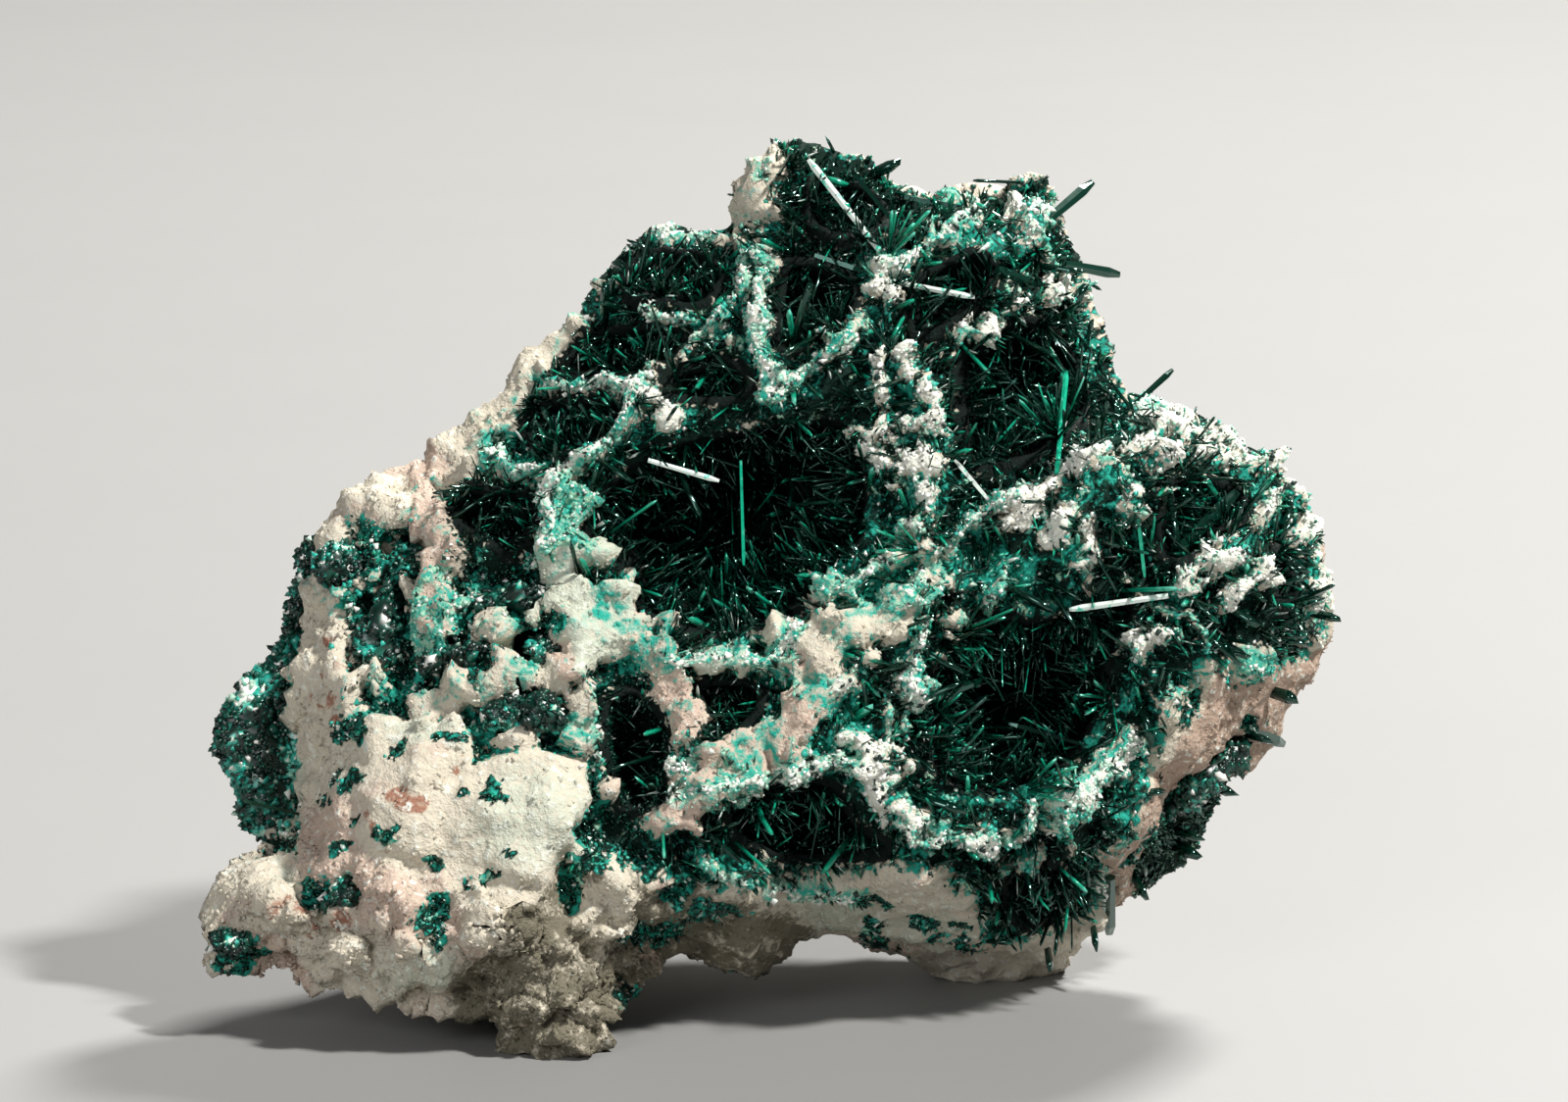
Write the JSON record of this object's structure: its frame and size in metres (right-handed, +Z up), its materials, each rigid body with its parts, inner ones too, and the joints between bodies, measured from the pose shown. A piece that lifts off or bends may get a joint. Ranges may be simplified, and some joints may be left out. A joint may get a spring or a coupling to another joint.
{
  "type": "brochantite mineral specimen",
  "caption": "Brochantite specimen: pale vuggy matrix whose pockets and ledges are lined with dark green prismatic crystals.",
  "frame": {"origin": "middle of the specimen's footprint, on the ground it stands on", "axes": "+X to the right as the crystal-lined face is looked at, +Z up, -Y out of that face"},
  "size_m": [0.0726, 0.0406, 0.0551],
  "materials": {
    "rock": "matt, granular",
    "crystal_bed": "vitreous, rough with small crystals",
    "crystal": "vitreous"
  },
  "bodies": {
    "root": {"bed_bottom_right": "crystal_bed", "bed_brow": "crystal_bed", "bed_left": "crystal_bed", "bed_lower_left": "crystal_bed", "bed_lower_right": "crystal_bed", "bed_main": "crystal_bed", "bed_middle_top": "crystal_bed", "bed_peak": "crystal_bed", "bed_right": "crystal_bed", "bed_right_rim": "crystal_bed", "bed_shoulder": "crystal_bed", "bed_slot": "crystal_bed", "bed_sparkle": "crystal_bed", "bed_under_band": "crystal_bed", "bed_upper_left": "crystal_bed", "bed_upper_right": "crystal_bed", "bed_wing": "crystal_bed", "crust_back_low": "crystal_bed", "crust_back_right": "crystal_bed", "crust_back_upper": "crystal_bed", "crust_eye_patch": "crystal_bed", "crust_heel_patch": "crystal_bed", "crust_ledge_patch": "crystal_bed", "crust_left_edge": "crystal_bed", "crust_left_upper_edge": "crystal_bed", "crust_middle_patch": "crystal_bed", "crust_right_flank": "crystal_bed", "crust_ring_patch": "crystal_bed", "crust_round_vug_left": "crystal_bed", "crust_round_vug_right": "crystal_bed", "crust_speckled_patch": "crystal_bed", "crust_tall_patch": "crystal_bed", "crystal_band_blade": "crystal", "crystal_corner_blade": "crystal", "crystal_cross_blade_brown": "crystal", "crystal_cross_blade_long": "crystal", "crystal_crown_bar": "crystal", "crystal_flank_spike_high": "crystal", "crystal_flank_spike_low": "crystal", "crystal_left_edge_needle": "crystal", "crystal_lower_right_bar": "crystal", "crystal_lower_right_blade": "crystal", "crystal_lower_right_needle": "crystal", "crystal_main_blade": "crystal", "crystal_main_needle_right": "crystal", "crystal_main_needle_slant": "crystal", "crystal_main_needle_tall": "crystal", "crystal_peak_blade_back": "crystal", "crystal_peak_blade_front": "crystal", "crystal_right_blade_broad": "crystal", "crystal_right_needle": "crystal", "crystal_rim_bar_dark": "crystal", "crystal_rim_bar_pale": "crystal", "crystal_top_right_blade": "crystal", "crystal_top_right_slab": "crystal", "crystal_top_right_spike": "crystal", "crystal_upright_needle": "crystal", "matrix_rock": "rock"}
  },
  "joints": []
}
